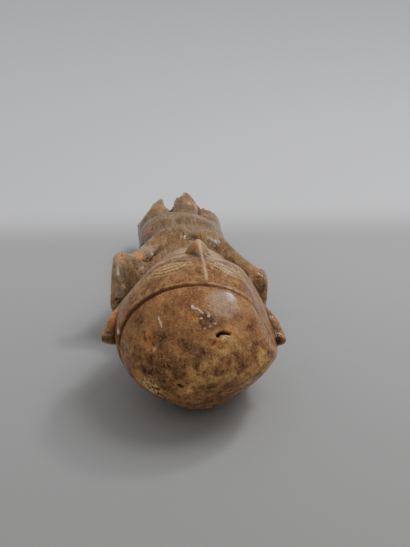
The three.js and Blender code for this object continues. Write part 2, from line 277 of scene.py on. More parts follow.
def to_line(p, places):
    """Distance to the line that joins places."""
    line = np.asarray(places, float)
    best = np.full(len(p), 1e9)
    for a, b in zip(line[:-1], line[1:]):
        ab = b - a
        t = np.clip((p - a) @ ab / (ab @ ab), 0, 1)
        best = np.minimum(best, np.linalg.norm(p - a - t[:, None] * ab, axis=1))
    return best


def join(a, b, blend=0.0):
    if blend <= 0:
        return np.minimum(a, b)
    h = np.maximum(blend - np.abs(a - b), 0) / blend
    return np.minimum(a, b) - h * h * blend / 4


def cut(a, b, blend=0.0):
    """a without b."""
    return -join(-a, b, blend)


def near(p, middle, half):
    """Which points lie in a box, or within reach of it."""
    return (np.abs(p - np.asarray(middle, float)) < np.asarray(half, float) + REACH).all(1)


def added(d, p, where, form, blend):
    """Joins a form into d where it matters, and leaves d as it is elsewhere."""
    if where.any():
        d[where] = join(d[where], form(p[where]), blend)
    return d


def unpressed(p):
    """Undoes the eased press of the broad knife flats on the head."""
    q = p - np.asarray(CRANIUM[0])
    a, b = 1 - FLAT_PRESS / 2, FLAT_PRESS / 2
    softness = FLAT_SOFTNESS * math.sqrt(1 - FLAT_PRESS)
    for normal, distance in reversed(HEAD_FLATS):
        n = np.asarray(normal) / np.linalg.norm(normal)
        proud = q @ n - distance
        before = (a * proud + b * np.hypot(proud, softness)) / (1 - FLAT_PRESS)
        q = q + (before - proud)[:, None] * n
    return q + np.asarray(CRANIUM[0])


EARS = {
    side: tuple((y, EAR_X[side] + side * x, z, half, up, down) for y, x, z, half, up, down in EAR_ROWS)
    for side in (-1, 1)
}


def past_hairline(p):
    """How far points lie from the cap's edge towards the face."""
    return p[:, 1] + CAP_EDGE[1] * p[:, 0] - CAP_EDGE[0]


def head(p):
    h = unrolled(p, HEAD_ROLL)
    q = unpressed(h)
    face = loft(q, FACE_ROWS)
    behind = past_hairline(p)
    at_edge = np.abs(behind) < 2
    behind[at_edge] += EDGE_WANDER * noise(p[at_edge], EDGE_WANDER_SPACING, 3)
    d = join(ellipsoid(q, *CRANIUM), cut(face, behind, BLEND["hairline"]))
    for middle, half, tilt, turn in (LEFT_EYE, RIGHT_EYE):
        m = near(h, middle, EYE_BOX)
        if not m.any():
            continue
        wider, longer, rise, above = SOCKET_GROWTH
        socket = spun(h[m], np.add(middle, (0, 0, above)), tilt, turn)
        hollow = ellipsoid(socket, (0, 0, 0), (half[0] + wider, half[1] + longer, half[2] + rise))
        lens = ellipsoid(spun(h[m], middle, tilt, turn), (0, 0, 0), half)
        d[m] = join(cut(d[m], hollow, BLEND["socket"]), lens, BLEND["lens"])
    added(d, h, near(h, *NOSE_BOX), lambda r: loft(r, NOSE_ROWS, NOSE_POINT), BLEND["nose"])
    added(d, h, near(h, *MOUTH), lambda r: ellipsoid(r, *MOUTH), BLEND["mouth"])
    for side, rows in EARS.items():
        inwards, y, z = EAR_BOX[0]
        m = near(h, (EAR_X[side] - inwards * side, y, z), EAR_BOX[1])
        if not m.any():
            continue
        bowl = ellipsoid(h[m], (EAR_X[side] + EAR_BOWL[0][0] * side, *EAR_BOWL[0][1:]), EAR_BOWL[1])
        flap = loft(h[m], rows, EAR_SQUARE, BLEND["ear ends"])
        d[m] = join(d[m], cut(flap, bowl, BLEND["ear bowl"]), BLEND["ear"])
    return d


def on_side(rows, side):
    """Rows of a form on one side of the body: y, x, z and the rest."""
    return tuple((y, side * x, *rest) for y, x, *rest in rows)


ARMS = {
    side: tuple(
        (low + up * (high - low), foot + up * (top - foot), -y, half, deep, deep)
        for up, y, half, deep in ARM_ROWS
    )
    for side, (low, high, foot, top) in ARM_SPAN.items()
}
FOREARMS = {
    side: tuple((*row, down + FOREARM_DEPTH[side]) for *row, down in on_side(FOREARM_ROWS, side))
    for side in (-1, 1)
}
THIGHS = {side: on_side(THIGH_ROWS, side) for side in (-1, 1)}


def arm(b, side):
    """The squared upper arm, lofted by level, and the forearm and hand that follow it."""
    levels = np.stack([b[:, 0], b[:, 2], -b[:, 1]], 1)
    d = loft(levels, ARMS[side], ARM_SQUARE, BLEND["arm ends"])
    d = join(d, loft(b, FOREARMS[side], 2, BLEND["forearm ends"]), BLEND["forearm"])
    (x, y, z), half, lean, tilt = HAND
    palm = spun(b, (side * x + lean, y, z), side * tilt, 0)
    return join(d, ellipsoid(palm, (0, 0, 0), half), BLEND["hand"])


def torso(b):
    d = loft(b, TORSO_ROWS)
    for side in (-1, 1):
        (x, y, z), half = BUTTOCK
        where = near(b, (side * x, y, z), half)
        added(d, b, where, lambda r: ellipsoid(r, (side * x, y, z), half), BLEND["buttock"])
    for middle, half in SHOULDERS:
        added(d, b, near(b, middle, half), lambda r: ellipsoid(r, middle, half), BLEND["shoulder"])
    for side in (-1, 1):
        (x, y, z), half = ARM_BOX
        added(d, b, near(b, (side * x, y, z), half), lambda r: arm(r, side), BLEND["arm"])
    return d


def split_off(b):
    """How far points lie beyond the plane of the split on the left thigh."""
    n = np.asarray(SPLIT_SIDE[0]) / np.linalg.norm(SPLIT_SIDE[0])
    return (b - np.asarray(SPLIT_SIDE[1])) @ n


def beyond_break(p):
    """How far points lie beyond the torn end. The tear follows the fibres, which run along y."""
    reach = np.full(len(p), BREAK_FLOOR)
    for x, z, tip, slope in SPLINTERS:
        reach = np.maximum(reach, tip - slope * np.hypot(p[:, 0] - x, p[:, 2] - z))
    m = p[:, 1] > TEAR_FROM
    fibres = p[m] * (1, 0.05, 1)
    torn = 2.6 * noise(fibres, 1.7, 31) + 1.4 * noise(fibres, 0.9, 32)
    reach[m] = np.minimum(reach[m] + torn * smooth(reach[m], 186, 196) - 0.6, LENGTH)
    return (p[:, 1] - reach) / 1.9


def body(p):
    """Torso, arms and stumps. The right thigh runs smoothly out of the hip, the left one has a crease."""
    b = unrolled(p, BODY_ROLL)
    d = torso(b)
    m = p[:, 1] > STUMPS_FROM
    if not m.any():
        return d
    q = b[m]
    broken = beyond_break(p[m])
    d[m] = join(d[m], np.maximum(loft(q, THIGHS[1]), broken), BLEND["right thigh"])
    left = np.maximum(loft(q, THIGHS[-1]), split_off(q))
    middle = loft(q, MEMBER_ROWS)
    rest = cut(join(left, middle, BLEND["left thigh"]), ellipsoid(q, *NOTCH), BLEND["notch"])
    d[m] = join(d[m], np.maximum(rest, broken), BLEND["stumps"])
    return d


def figure(p):
    """Signed distance to the whole figure, in the carving frame."""
    y = p[:, 1]
    d = np.full(len(p), FAR)
    for (low, high), form in ((HEAD_SPAN, head), (BODY_SPAN, body)):
        m = (y > low) & (y < high)
        if m.any():
            d[m] = join(d[m], form(p[m]), BLEND["neck"])
    return np.maximum(d, -p[:, 2])


# Mesh from the distances
def at_corner(values, corner, cells):
    """What every cell finds at one of its corners."""
    return values[tuple(slice(c, c + n) for c, n in zip(corner, cells))]


def refined(blocks):
    """Each coarse block's value, for all of its cells."""
    for axis in range(3):
        blocks = np.repeat(blocks, COARSE, axis)
    return blocks


def grid_mesh():
    """Surface nets over the cells that the surface passes."""
    low = np.array(GRID_LOW)
    step = CELL * COARSE
    counts = (np.ceil((np.array(GRID_HIGH) - low) / step)).astype(int) + 1
    axes = [low[a] + step * np.arange(counts[a]) for a in range(3)]
    coarse = np.stack(np.meshgrid(*axes, indexing="ij"), -1).reshape(-1, 3)
    values = figure(coarse).reshape(counts)
    blocks = counts - 1
    close = np.abs(values) < 1.9 * step
    hit = np.zeros(blocks, bool)
    for corner in CORNERS:
        hit |= at_corner(close, corner, blocks)
    fine = blocks * COARSE + 1
    field = np.pad(refined(values[:-1, :-1, :-1]), (0, 1), mode="edge").astype(np.float32)
    crossed = np.pad(refined(hit), (0, 1))
    for a in range(3):
        crossed |= np.roll(crossed, 1, a)
    where = np.argwhere(crossed)
    for n in range(0, len(where), BATCH):
        part = where[n : n + BATCH]
        field[tuple(part.T)] = figure(low + CELL * part)
    inside = field < 0
    cells = fine - 1
    corner_sum = np.zeros(cells, np.int8)
    for corner in CORNERS:
        corner_sum += at_corner(inside, corner, cells)
    active = np.argwhere((corner_sum > 0) & (corner_sum < 8))
    index = np.full(cells, -1, np.int64)
    index[tuple(active.T)] = np.arange(len(active))
    total = np.zeros((len(active), 3))
    hits = np.zeros(len(active))
    for ca in CORNERS:
        for a in range(3):
            if ca[a]:
                continue
            cb = tuple(ca[n] + (n == a) for n in range(3))
            fa = field[tuple((active + ca).T)]
            fb = field[tuple((active + cb).T)]
            m = (fa < 0) != (fb < 0)
            t = np.where(m, fa / np.where(m, fa - fb, 1), 0)
            place = np.array(ca, float) + t[:, None] * (np.array(cb) - np.array(ca))
            total[m] += place[m]
            hits += m
    points = low + CELL * (active + total / hits[:, None])
    quads = []
    for a in range(3):
        b, c = (a + 1) % 3, (a + 2) % 3
        shift = np.zeros(3, int)
        shift[a] = 1
        here = at_corner(inside, (0, 0, 0), cells)
        there = at_corner(inside, shift, cells)
        edges = np.argwhere(here != there)
        edges = edges[(edges[:, b] > 0) & (edges[:, c] > 0)]
        outward = here[tuple(edges.T)]
        eb, ec = np.zeros(3, int), np.zeros(3, int)
        eb[b], ec[c] = 1, 1
        ring = [index[tuple((edges - o).T)] for o in (eb + ec, ec, 0 * eb, eb)]
        ring = np.stack(ring, 1)
        ring[~outward] = ring[~outward][:, ::-1]
        quads.append(ring)
    return points, np.vstack(quads)


def slope_of(p, reach=0.06):
    """Value and gradient of the distance at points."""
    value = figure(p)
    g = np.empty_like(p)
    for a in range(3):
        o = np.zeros(3)
        o[a] = reach
        g[:, a] = (figure(p + o) - value) / reach
    return value, g


def drawn_on(p, longest=0.4):
    """Points moved onto the surface."""
    value, gradient = slope_of(p)
    move = -(value / np.maximum((gradient**2).sum(1), 0.05))[:, None] * gradient
    length = np.linalg.norm(move, axis=1, keepdims=True)
    return p + move * np.minimum(1, longest / np.maximum(length, 1e-9))


def neighbour_mean(quads, values, count):
    """Mean of each point's neighbours along the mesh's edges."""
    a = np.concatenate([quads[:, n] for n in range(4)])
    b = np.concatenate([quads[:, (n + 1) % 4] for n in range(4)])
    total = np.zeros((count, values.shape[1]))
    weight = np.bincount(a, minlength=count) + np.bincount(b, minlength=count)
    for n in range(values.shape[1]):
        total[:, n] = np.bincount(a, values[b, n], count) + np.bincount(b, values[a, n], count)
    return total / np.maximum(weight, 1)[:, None]


def normals_of(points, quads):
    n = np.cross(points[quads[:, 2]] - points[quads[:, 0]], points[quads[:, 3]] - points[quads[:, 1]])
    total = np.zeros_like(points)
    for k in range(4):
        for a in range(3):
            total[:, a] += np.bincount(quads[:, k], n[:, a], len(points))
    return total / np.maximum(np.linalg.norm(total, axis=1, keepdims=True), 1e-12)


# Marks of age and of the knife, placed on the surface in the carving frame
# Narrow marks: line of places, width and depth.
SCARS = (
    (((5.0, 6.4, 46.5), (6.0, 7.1, 47.0), (7.7, 7.7, 47.2), (9.6, 7.8, 46.4)), 0.6, 2.4),
    (((6.0, 6.2, 45.8), (4.3, 5.2, 45.0), (3.1, 4.2, 43.8)), 0.7, 0.45),
    (((-10.5, 2.1, 27.3), (-9.8, 1.9, 27.0), (-9.2, 1.8, 26.7)), 0.55, 1.9),
    (((-8.4, 1.6, 26.3), (-6.1, 1.1, 26.1), (-3.4, 0.7, 26.0), (-2.2, 0.8, 25.4)), 0.4, 0.4),
    (((-23.5, 16.1, 44.1), (-23.5, 14.1, 41.7)), 0.7, 0.6),
    (((-22.1, 13.9, 43.5), (-20.3, 10.3, 40.9)), 0.5, 0.3),
    (((10.6, 3.9, 40.2), (12.4, 4.0, 37.6), (12.6, 3.3, 35.2)), 0.4, 0.25),
)
# Shallow hollows and swellings: middle, half sizes and depth.
DENTS = (
    ((-21.3, 12, 41.6), (4.4, 5, 4.2), 0.9),
    ((-17.6, 6, 30), (4.5, 5, 4), 0.5),
    ((-7.3, 5, 42.6), (5, 5, 4.4), 0.45),
    ((3.4, 4.2, 43.2), (4.4, 5, 3.2), 0.6),
    ((0, 0.8, 22.5), (7, 4, 3.6), 0.35),
    ((18, 7, 36), (6, 6, 6), -0.35),
    ((10, 4, 28), (5, 5, 4), 0.4),
    ((-13, 22, 55.5), (6, 6, 4), -0.3),
    ((-6.4, 164.8, 36), (6, 7, 6), 0.5),
    ((9, 168, 35), (6, 7, 6), 0.35),
)
# Ragged patches of tone: middle and reach.
# Dark stains; the patches at the ears' fronts and on the outer side of the right upper arm are painted shade.
STAINS_AND_SHADE = (
    ((-21.3, 8.6, 33.9), 4.4), ((-17.6, 5.5, 29.2), 4.6), ((-11.4, 2.5, 33.9), 4.6), ((-0.9, 2.5, 41), 4.2),
    ((9.8, 3.4, 23.7), 3.4), ((-18.3, 10.4, 43.5), 4.2), ((-7.3, 5, 43.8), 3.6), ((-25.1, 20.8, 46.2), 3.4),
    ((-22.6, 9.5, 29.7), 4), ((1.5, 9.9, 49.8), 4), ((-4, 1.2, 37.6), 3.6), ((5, 1.4, 33.6), 3),
    ((14, 4.4, 34.5), 3), ((1.5, 0.8, 28.5), 3.4), ((-14.5, 3.4, 25), 3.4), ((21, 10, 40), 2.6),
    ((-38.4, 36, 30), 5), ((-35, 35.6, 28), 5), ((36.5, 36, 28), 6), ((-22, 163, 19), 8),
    ((34.6, 96, 24), 6), ((34, 94, 17), 6), ((-34, 92, 20), 5), ((-19.4, 6.8, 32.1), 4.6),
    ((-17.2, 5.3, 28.3), 4), ((-16.4, 9.8, 44.6), 3.2), ((-21.3, 8.7, 34.7), 3.6), ((17.3, 174, 26), 7),
    ((20.7, 168, 23.6), 6), ((-22.3, 170, 24.2), 6), ((-18.7, 117.8, 38.8), 3), ((8, 2, 20), 4),
    ((-19.3, 151, 26.4), 6), ((-22.5, 162, 24), 6), ((15, 178, 28), 7), ((33.4, 101, 24), 5),
    ((-14, 8, 35), 5), ((36, 40, 30), 4), ((-36.5, 38, 33), 4), ((18, 14, 46), 3), ((14, 14, 50), 2.4),
    ((28.5, 13.5, 34), 4.4), ((29, 20, 40), 4),
)
# Paler greyish patches on the left upper arm and forearm.
PALE_GREY_PATCHES = (
    ((-36, 96.5, 34), 7), ((-36.4, 94, 26), 7), ((-26, 108, 38.4), 6), ((-20, 114, 37), 5),
    ((-34, 98, 37), 4),
)
GILDED = (
    ((-5.3, 0.7, 33.7), 3), ((-0.3, 0.6, 35.8), 3), ((18.8, 6.5, 29.2), 5), ((23.2, 10.2, 33.7), 5),
    ((11.9, 6.5, 43.5), 4.4), ((3.7, 1.7, 38.6), 3), ((7.7, 3.8, 41.6), 3), ((-7.2, 1.6, 24.7), 3),
    ((-2.2, 0.1, 30.8), 3.6), ((15, 3.6, 27), 4), ((26, 14, 29), 4.4), ((10, 1.6, 30), 3.6),
    ((-24.5, 13.5, 24), 6), ((20, 9, 24), 4), ((3, 0.5, 31), 3), ((-3.4, 71, 54.3), 7), ((-6.9, 56, 59), 5),
    ((6.3, 75, 52.5), 7), ((7.7, 65, 54.7), 6), ((8.6, 54, 58), 5), ((-14, 52, 56), 5),
)
REDDENED = (
    ((10.1, 8.9, 47.5), 2.4), ((12.1, 9, 46.6), 2), ((-16.5, 23.2, 54.4), 3), ((-5.2, 12.3, 52.1), 2),
    ((-3.4, 11, 51.4), 1.6), ((-34.6, 45, 38), 5), ((-36, 43, 35), 4), ((-21.6, 12.8, 42.5), 4.4),
    ((5.4, 5.6, 45.4), 2.6), ((9.6, 8.4, 47.4), 2.2), ((-27.4, 16.2, 25), 4), ((3.1, 4.2, 43.8), 1.6),
    ((-34, 103, 38), 5), ((-24, 105, 38), 4), ((0.6, 62, 61), 4.6), ((0.6, 56, 62), 3),
    ((31, 103, 34), 5), ((26, 106, 35), 4), ((-10, 195, 29), 4), ((8, 195, 29), 4.4), ((-21, 160, 30), 5),
)
RAW = (
    ((7.4, 6.2, 45.4), 1.3), ((-19.8, 9.4, 40.1), 1.5), ((-32.4, 92, 27.6), 1.8), ((4.5, 58.9, 57.6), 1.6),
    ((4, 192, 29.4), 2.4), ((-6.1, 1.1, 25.4), 1.6),
)
# Thin raised lines painted near-white as highlights: a curved line and a scratch on the cap, and glints at the
# left ear's root and the left upper arm's corner. Line of places and width.
BRIGHT_LINES = (
    (((-4.1, 16.4, 55.0), (-3.95, 15.6, 54.6)), 0.36),
    (((-3.9, 15.2, 54.3), (-2.1, 15.2, 54.4), (-1.0, 14.1, 53.8), (-0.3, 13.0, 53.1)), 0.2),
    (((-17.4, 16.6, 50.3), (-16.9, 14.6, 49.1), (-16.4, 12.8, 47.9)), 0.2),
    (((-33.8, 29.8, 38.6), (-33.8, 28.6, 37.4)), 0.6),
    (((-34.6, 97, 36), (-34.4, 94.6, 33)), 0.5),
)
# The nose's ridge, painted pale along its crest as a highlight, by its places, a spot of tar and a patch of
# worm galleries by middle and half sizes, and the pith by x and z.
NOSE_RIDGE = ((2.3, 28, 61), (2.15, 40, 62.9), (1.84, 50, 62.7), (1.73, 58, 62.6), (1.6, 64, 62.4))
TAR = ((1.3, 10.6, 51.2), (5.2, 5.4, 5.0))
WORMS = ((-21.2, 10.6, 22.0), (7.0, 6.4, 5.6))
PITH = (-1.0, 38.0)
RING_WIDTH = 1.35
# Levels between which the hairline's rim and groove fade in, and each one's offset, width and depth.
RIM_LEVELS = (30, 38)
RIM = (0.55, 0.5, 0.12)
GROOVE = (-0.4, 0.42, 0.4)
# Incised lines about an eye: how far out, their width and depth, and those of the slit between the lids.
LID_LINES, LID_WIDTH, LID_DEPTH = (0.62, 1.05, 1.5), 0.1, 0.26
SLIT_PLACE, SLIT_WIDTH, SLIT_DEPTH = 0.2, 0.3, 0.4
# Relief of the whole surface and of its marks, in millimetres.
CAP_FACETS, CAP_RIPPLE, BODY_FACETS, BODY_RIPPLE = 0.28, 0.1, 0.16, 0.09
FIBRE_RELIEF, CREVICE_DEPTH, RING_RELIEF = 0.06, 0.14, 0.04
GALLERY_DEPTH, GALLERY_BED, TAR_FILM, TAR_BEADS = 0.35, 0.1, 0.1, 0.45
LINE_HEIGHT, RIDGE_WIDTH, PIT_DEPTH, TORN_RELIEF = 0.14, 0.9, 0.35, 0.22


def patches(p, places, seed):
    """Ragged patches of tone around places, from 0 to 1."""
    rough = 0.45 * fbm(p, 3.0, seed) + 0.2 * noise(p, 0.9, seed + 5)
    strength = np.zeros(len(p))
    for middle, reach in places:
        away = np.linalg.norm(p - middle, axis=1) / reach
        strength = np.maximum(strength, 1 - smooth(away + rough, 0.35, 1.15))
    return strength


def bell(value, width):
    """1 where the value is nothing, falling off to both sides."""
    return np.exp(-((value / width) ** 2))


def within(p, middle, half):
    """1 in the middle of an ellipsoid of influence, 0 outside."""
    return 1 - smooth(np.linalg.norm((p - np.asarray(middle)) / half, axis=1), 0.35, 1.0)


def rings(p):
    """Growth rings around the pith, which runs along the figure."""
    away = np.hypot(p[:, 0] - PITH[0], p[:, 2] - PITH[1]) + 1.1 * fbm(p * (1, 0.3, 1), 9.0, 51, 3)
    return np.cos(2 * np.pi * away / RING_WIDTH)


def eye_lines(h):
    """Incised lid lines and slits: depth, and the lids' own almond area."""
    depth = np.zeros(len(h))
    area = np.zeros(len(h))
    for middle, half, tilt, turn in (LEFT_EYE, RIGHT_EYE):
        m = near(h, middle, EYE_BOX)
        q = spun(h[m], middle, tilt, turn)
        along = q[:, 0] / half[0]
        almond = np.abs(q[:, 1]) / half[1] + 0.8 * along**2
        lids = sum(LID_DEPTH * bell(almond - level, LID_WIDTH) for level in LID_LINES)
        slit = SLIT_DEPTH * bell(q[:, 1] - SLIT_PLACE, SLIT_WIDTH) * (1 - smooth(np.abs(along), 0.6, 0.85))
        depth[m] = np.maximum(depth[m], np.maximum(lids, slit))
        area[m] = np.maximum(area[m], 1 - smooth(almond, 1.3, 1.8))
    return depth, area


def surface_marks(p):
    """How far each point moves out of the smooth form, and the masks that the patina reads."""
    skull_or_face = smooth(body(p) - head(p), -0.6, 0.6)
    rest = 1 - skull_or_face
    behind = past_hairline(p)
    cap = skull_or_face * (1 - smooth(behind, -0.4, 0.4))
    upper = smooth(p[:, 2], *RIM_LEVELS)

    # Knife facets, worn soft, and the long grain.
    move = cap * (CAP_FACETS * fbm(p, 13.0, 1, 2) + CAP_RIPPLE * fbm(p, 4.2, 2, 2))
    move += (1 - cap) * (BODY_FACETS * fbm(p, 9.0, 4, 2) + BODY_RIPPLE * fbm(p * (1, 0.4, 1), 2.6, 5, 2))
    fibre = noise(p * (1, 0.07, 1), 1.1, 6)
    move += FIBRE_RELIEF * fibre * (1 - 0.6 * cap)
    move -= CREVICE_DEPTH * rest * smooth(np.abs(noise(p * (1, 0.09, 1), 1.9, 7)), 0.1, 0.0)
    ring = rings(p)
    move += RING_RELIEF * ring * (1 - smooth(p[:, 2], 34, 44))

    # The hairline: a groove at the foot of the face's raised rim.
    edge = bell(behind - GROOVE[0], GROOVE[1]) * skull_or_face * upper
    rim = bell(behind - RIM[0], RIM[1]) * skull_or_face * upper
    move += RIM[2] * rim * (1 + 0.8 * noise(p, 2.4, 8)) - GROOVE[2] * edge

    lines, eyes = eye_lines(unrolled(p, HEAD_ROLL))
    move -= lines
    for middle, half, depth in DENTS:
        move -= depth * within(p, middle, half)
    # Painted shade inside the cracks, darker where they are deeper.
    scar_shade = np.zeros(len(p))
    for line, width, depth in SCARS:
        at = bell(to_line(p + 0.25 * noise(p, 1.1, 9)[:, None], line), width)
        move -= depth * at
        scar_shade = np.maximum(scar_shade, at * smooth(depth, 0.3, 1.6))

    # Worm galleries wind where the noise changes its sign.
    worms = within(p, *WORMS)
    winding = np.abs(noise(p, 1.6, 41) + 0.2 * noise(p, 0.8, 42))
    channel = smooth(worms, 0.05, 0.3) * smooth(winding, 0.3, 0.12)
    move -= GALLERY_DEPTH * channel + GALLERY_BED * worms
    tar = within(p, *TAR) * smooth(fbm(p, 2.2, 43, 2), -0.35, 0.1)
    beads = smooth(noise(p, 1.2, 44), 0.1, 0.75)
    move += tar * (TAR_FILM + TAR_BEADS * beads)
    painted_glints = np.zeros(len(p))
    for line, width in BRIGHT_LINES:
        painted_glints = np.maximum(painted_glints, bell(to_line(p + 0.12 * noise(p, 1.3, 49)[:, None], line), width))
    move += LINE_HEIGHT * painted_glints
    # Painted glints on the tar's beads, as near-white flecks.
    painted_glints = np.maximum(painted_glints, tar * smooth(noise(p, 0.75, 52), 0.4, 0.7))
    # A painted highlight along the nose's crest.
    ridge = bell(to_line(p, NOSE_RIDGE), RIDGE_WIDTH)
    pits = smooth(noise(p, 1.7, 45) + 0.4 * noise(p, 0.8, 46), 0.72, 0.95)
    pits *= smooth(fbm(p, 11, 47), 0.0, 0.3) * rest
    move -= PIT_DEPTH * pits

    # Raw wood of the tear and the split.
    torn = (1 - smooth(np.abs(beyond_break(p)), 0.2, 1.4)) * (p[:, 1] > 186)
    split = (1 - smooth(np.abs(split_off(unrolled(p, BODY_ROLL))), 0.1, 0.6)) * (p[:, 1] > 176)
    broken = np.maximum(torn, split)
    move += broken * TORN_RELIEF * noise(p * (1, 0.06, 1), 0.8, 48)

    masks = {
        "rest": rest,
        "face": skull_or_face - cap,
        # Stains and tar, with painted shade in the hairline groove, at the ears' fronts and on the right upper
        # arm.
        "stain_and_shade": np.maximum.reduce([patches(p, STAINS_AND_SHADE, 61) * 0.9, tar, 0.35 * edge]),
        "gold": np.maximum.reduce([patches(p, GILDED, 62), 0.5 * eyes, worms]),
        "red": np.maximum(patches(p, REDDENED, 63), 0.5 * rim * smooth(noise(p, 4.0, 10), -0.2, 0.6)),
        "pale_grey": patches(p, PALE_GREY_PATCHES, 66),
        "raw_wood_and_ridge_highlight": np.maximum.reduce([
            patches(p, RAW, 64), 0.6 * broken * smooth(p[:, 2], 24, 33), smooth(worms, 0, 0.5), ridge,
            0.6 * eyes,
        ]),
        "painted_glints": painted_glints,
        # Near-black painted shade in the cracks, gallery channels, pits and incised lid lines, and the dark of
        # the tar.
        "crevice_shade_and_tar": np.maximum.reduce([
            scar_shade, 0.85 * channel, 0.9 * pits, 0.85 * smooth(lines, 0.06, 0.3), 0.4 * tar,
        ]),
        "tar": tar,
        "ring": ring,
        "mottled": cap * smooth(-p[:, 2] + 3 * fbm(p, 8, 65, 2), -46, -34),
    }
    return move, masks


# How far the raw mesh is evened, how far the relief stays inside the solid's box, and how often the points are
# averaged to tell edges from hollows.
EVENING = 0.4
BOX_MARGIN = 0.02
BLUR_PASSES = 14
IN_PART_FRAME = np.array([SIDE_SHIFT, -LENGTH / 2, 0])

points, quads = grid_mesh()
points += EVENING * (neighbour_mean(quads, points, len(points)) - points)
points = drawn_on(points)
move, masks = surface_marks(points)
points = points + move[:, None] * normals_of(points, quads)
box = np.asarray(cad_box, float) * 1000 - IN_PART_FRAME
points = np.clip(points, box[0] + BOX_MARGIN, box[1] - BOX_MARGIN)
points[:, 2] = np.maximum(points[:, 2], 0.0)

# Raised edges are rubbed paler and hollows are darkened: how far each point stands out of its neighbours.
blurred = points
for _ in range(BLUR_PASSES):
    blurred = neighbour_mean(quads, blurred, len(points))
proud = ((points - blurred) * normals_of(points, quads)).sum(1)
masks["rubbed"] = smooth(proud, 0.02, 0.3)
masks["hollow"] = smooth(-proud, 0.02, 0.35)

mesh = bpy.data.meshes.new("figure")
part = (points + IN_PART_FRAME) / 1000
mesh.from_pydata(part.tolist(), [], quads.tolist())
for name, values in masks.items():
    layer = mesh.attributes.new(name, "FLOAT", "POINT")
    layer.data.foreach_set("value", values.astype(np.float32))
mesh.update()
figure_object = bpy.data.objects.new("figure", mesh)
bpy.context.collection.objects.link(figure_object)

if 2 * len(quads) > FACES_KEPT:
    thinning = figure_object.modifiers.new("thinning", "DECIMATE")
    thinning.ratio = FACES_KEPT / (2 * len(quads))
    thinned = figure_object.evaluated_get(bpy.context.evaluated_depsgraph_get())
    mesh = bpy.data.meshes.new_from_object(thinned)
    figure_object.modifiers.clear()
    figure_object.data = mesh
mesh.shade_smooth()

# Patina: dark glossy wood, mottled brown and gold on the head, greyer on the body
wood = bpy.data.materials.new("patina")
wood.use_nodes = True
nodes = wood.node_tree.nodes
links = wood.node_tree.links
shader = nodes["Principled BSDF"]


def fed(socket, value):
    """Sets a socket from a number, a colour or another node's output."""
    if isinstance(value, bpy.types.NodeSocket):
        links.new(value, socket)
    elif isinstance(value, tuple) and len(value) == 3 and socket.type == "RGBA":
        socket.default_value = (*value, 1)
    else:
        socket.default_value = value


def mask(name):
    n = nodes.new("ShaderNodeAttribute")
    n.attribute_name = name
    return n.outputs["Fac"]


def reckon(kind, a, b=0.0):
    n = nodes.new("ShaderNodeMath")
    n.operation = kind
    fed(n.inputs[0], a)
    fed(n.inputs[1], b)
    return n.outputs[0]


def between(value, low, high, start=0.0, end=1.0):
    """A value eased from start to end while the input goes from low to high."""
    n = nodes.new("ShaderNodeMapRange")
    n.interpolation_type = "SMOOTHSTEP"
    for socket, v in zip(n.inputs, (value, low, high, start, end)):
        fed(socket, v)
    return n.outputs[0]


def blend(amount, a, b):
    n = nodes.new("ShaderNodeMix")
    n.data_type = "RGBA"
    fed(n.inputs["Factor"], amount)
    colours = [s for s in n.inputs if s.type == "RGBA"]
    fed(colours[0], a)
    fed(colours[1], b)
    return next(s for s in n.outputs if s.type == "RGBA")


place = nodes.new("ShaderNodeTexCoord").outputs["Object"]


def speckle(size, stretch=(1, 1, 1), detail=3.0, shift=0.0, rough=0.55):
    """Noise with spots of about a size in millimetres, longer along an axis with a smaller stretch."""
    mapping = nodes.new("ShaderNodeMapping")
    fed(mapping.inputs["Vector"], place)
    mapping.inputs["Location"].default_value = (shift, shift * 0.7, -shift)
    mapping.inputs["Scale"].default_value = tuple(1000 / size * s for s in stretch)
    n = nodes.new("ShaderNodeTexNoise")
    fed(n.inputs["Vector"], mapping.outputs[0])
    n.inputs["Scale"].default_value = 1.0
    n.inputs["Detail"].default_value = detail
    n.inputs["Roughness"].default_value = rough
    return n.outputs["Fac"]


# Near-black for painted shade in crevices and for the tar.
SHADE_AND_TAR_BLACK = (0.007, 0.004, 0.003)
DEEP = (0.045, 0.018, 0.009)
PURPLE = (0.105, 0.044, 0.027)
BROWN = (0.21, 0.091, 0.037)
WARM = (0.34, 0.164, 0.066)
LIGHT = (0.47, 0.265, 0.115)
GOLD = (0.62, 0.37, 0.125)
ORANGE = (0.60, 0.235, 0.07)
PALE = (0.86, 0.6, 0.28)
GLINT_WHITE = (0.90, 0.82, 0.70)
GREY = (0.135, 0.087, 0.045)
TAN = (0.26, 0.142, 0.066)
PALE_GREY_TAN = (0.38, 0.285, 0.185)
UMBER = (0.15, 0.07, 0.03)

cloudy = speckle(9.0, detail=4.0)
mottle = speckle(2.6, detail=4.0, shift=7.0, rough=0.65)
grit = speckle(0.7, detail=3.0, shift=3.0, rough=0.6)
fibres = speckle(0.8, (1, 0.06, 1), detail=2.0, shift=11.0)
soft_fibres = speckle(2.4, (1, 0.08, 1), detail=2.0, shift=17.0)

head_tone = blend(between(cloudy, 0.36, 0.62), BROWN, WARM)
pale_spots = reckon("MULTIPLY", between(mottle, 0.5, 0.66), between(mask("mottled"), 0, 1, 0.3, 0.9))
dark_spots = reckon("MULTIPLY", between(mottle, 0.5, 0.34), between(mask("mottled"), 0, 1, 0.3, 0.8))
head_tone = blend(pale_spots, head_tone, LIGHT)
head_tone = blend(dark_spots, head_tone, PURPLE)
face_tone = blend(between(cloudy, 0.32, 0.56), WARM, BROWN)
face_tone = blend(between(mottle, 0.5, 0.66, 0, 0.4), face_tone, GOLD)
face_tone = blend(between(mottle, 0.5, 0.34, 0, 0.4), face_tone, PURPLE)
head_tone = blend(mask("face"), head_tone, face_tone)
body_tone = blend(between(cloudy, 0.38, 0.6), GREY, TAN)
body_tone = blend(between(soft_fibres, 0.52, 0.7, 0, 0.35), body_tone, PALE_GREY_TAN)
body_tone = blend(between(soft_fibres, 0.48, 0.3, 0, 0.7), body_tone, UMBER)
tone = blend(mask("rest"), head_tone, body_tone)

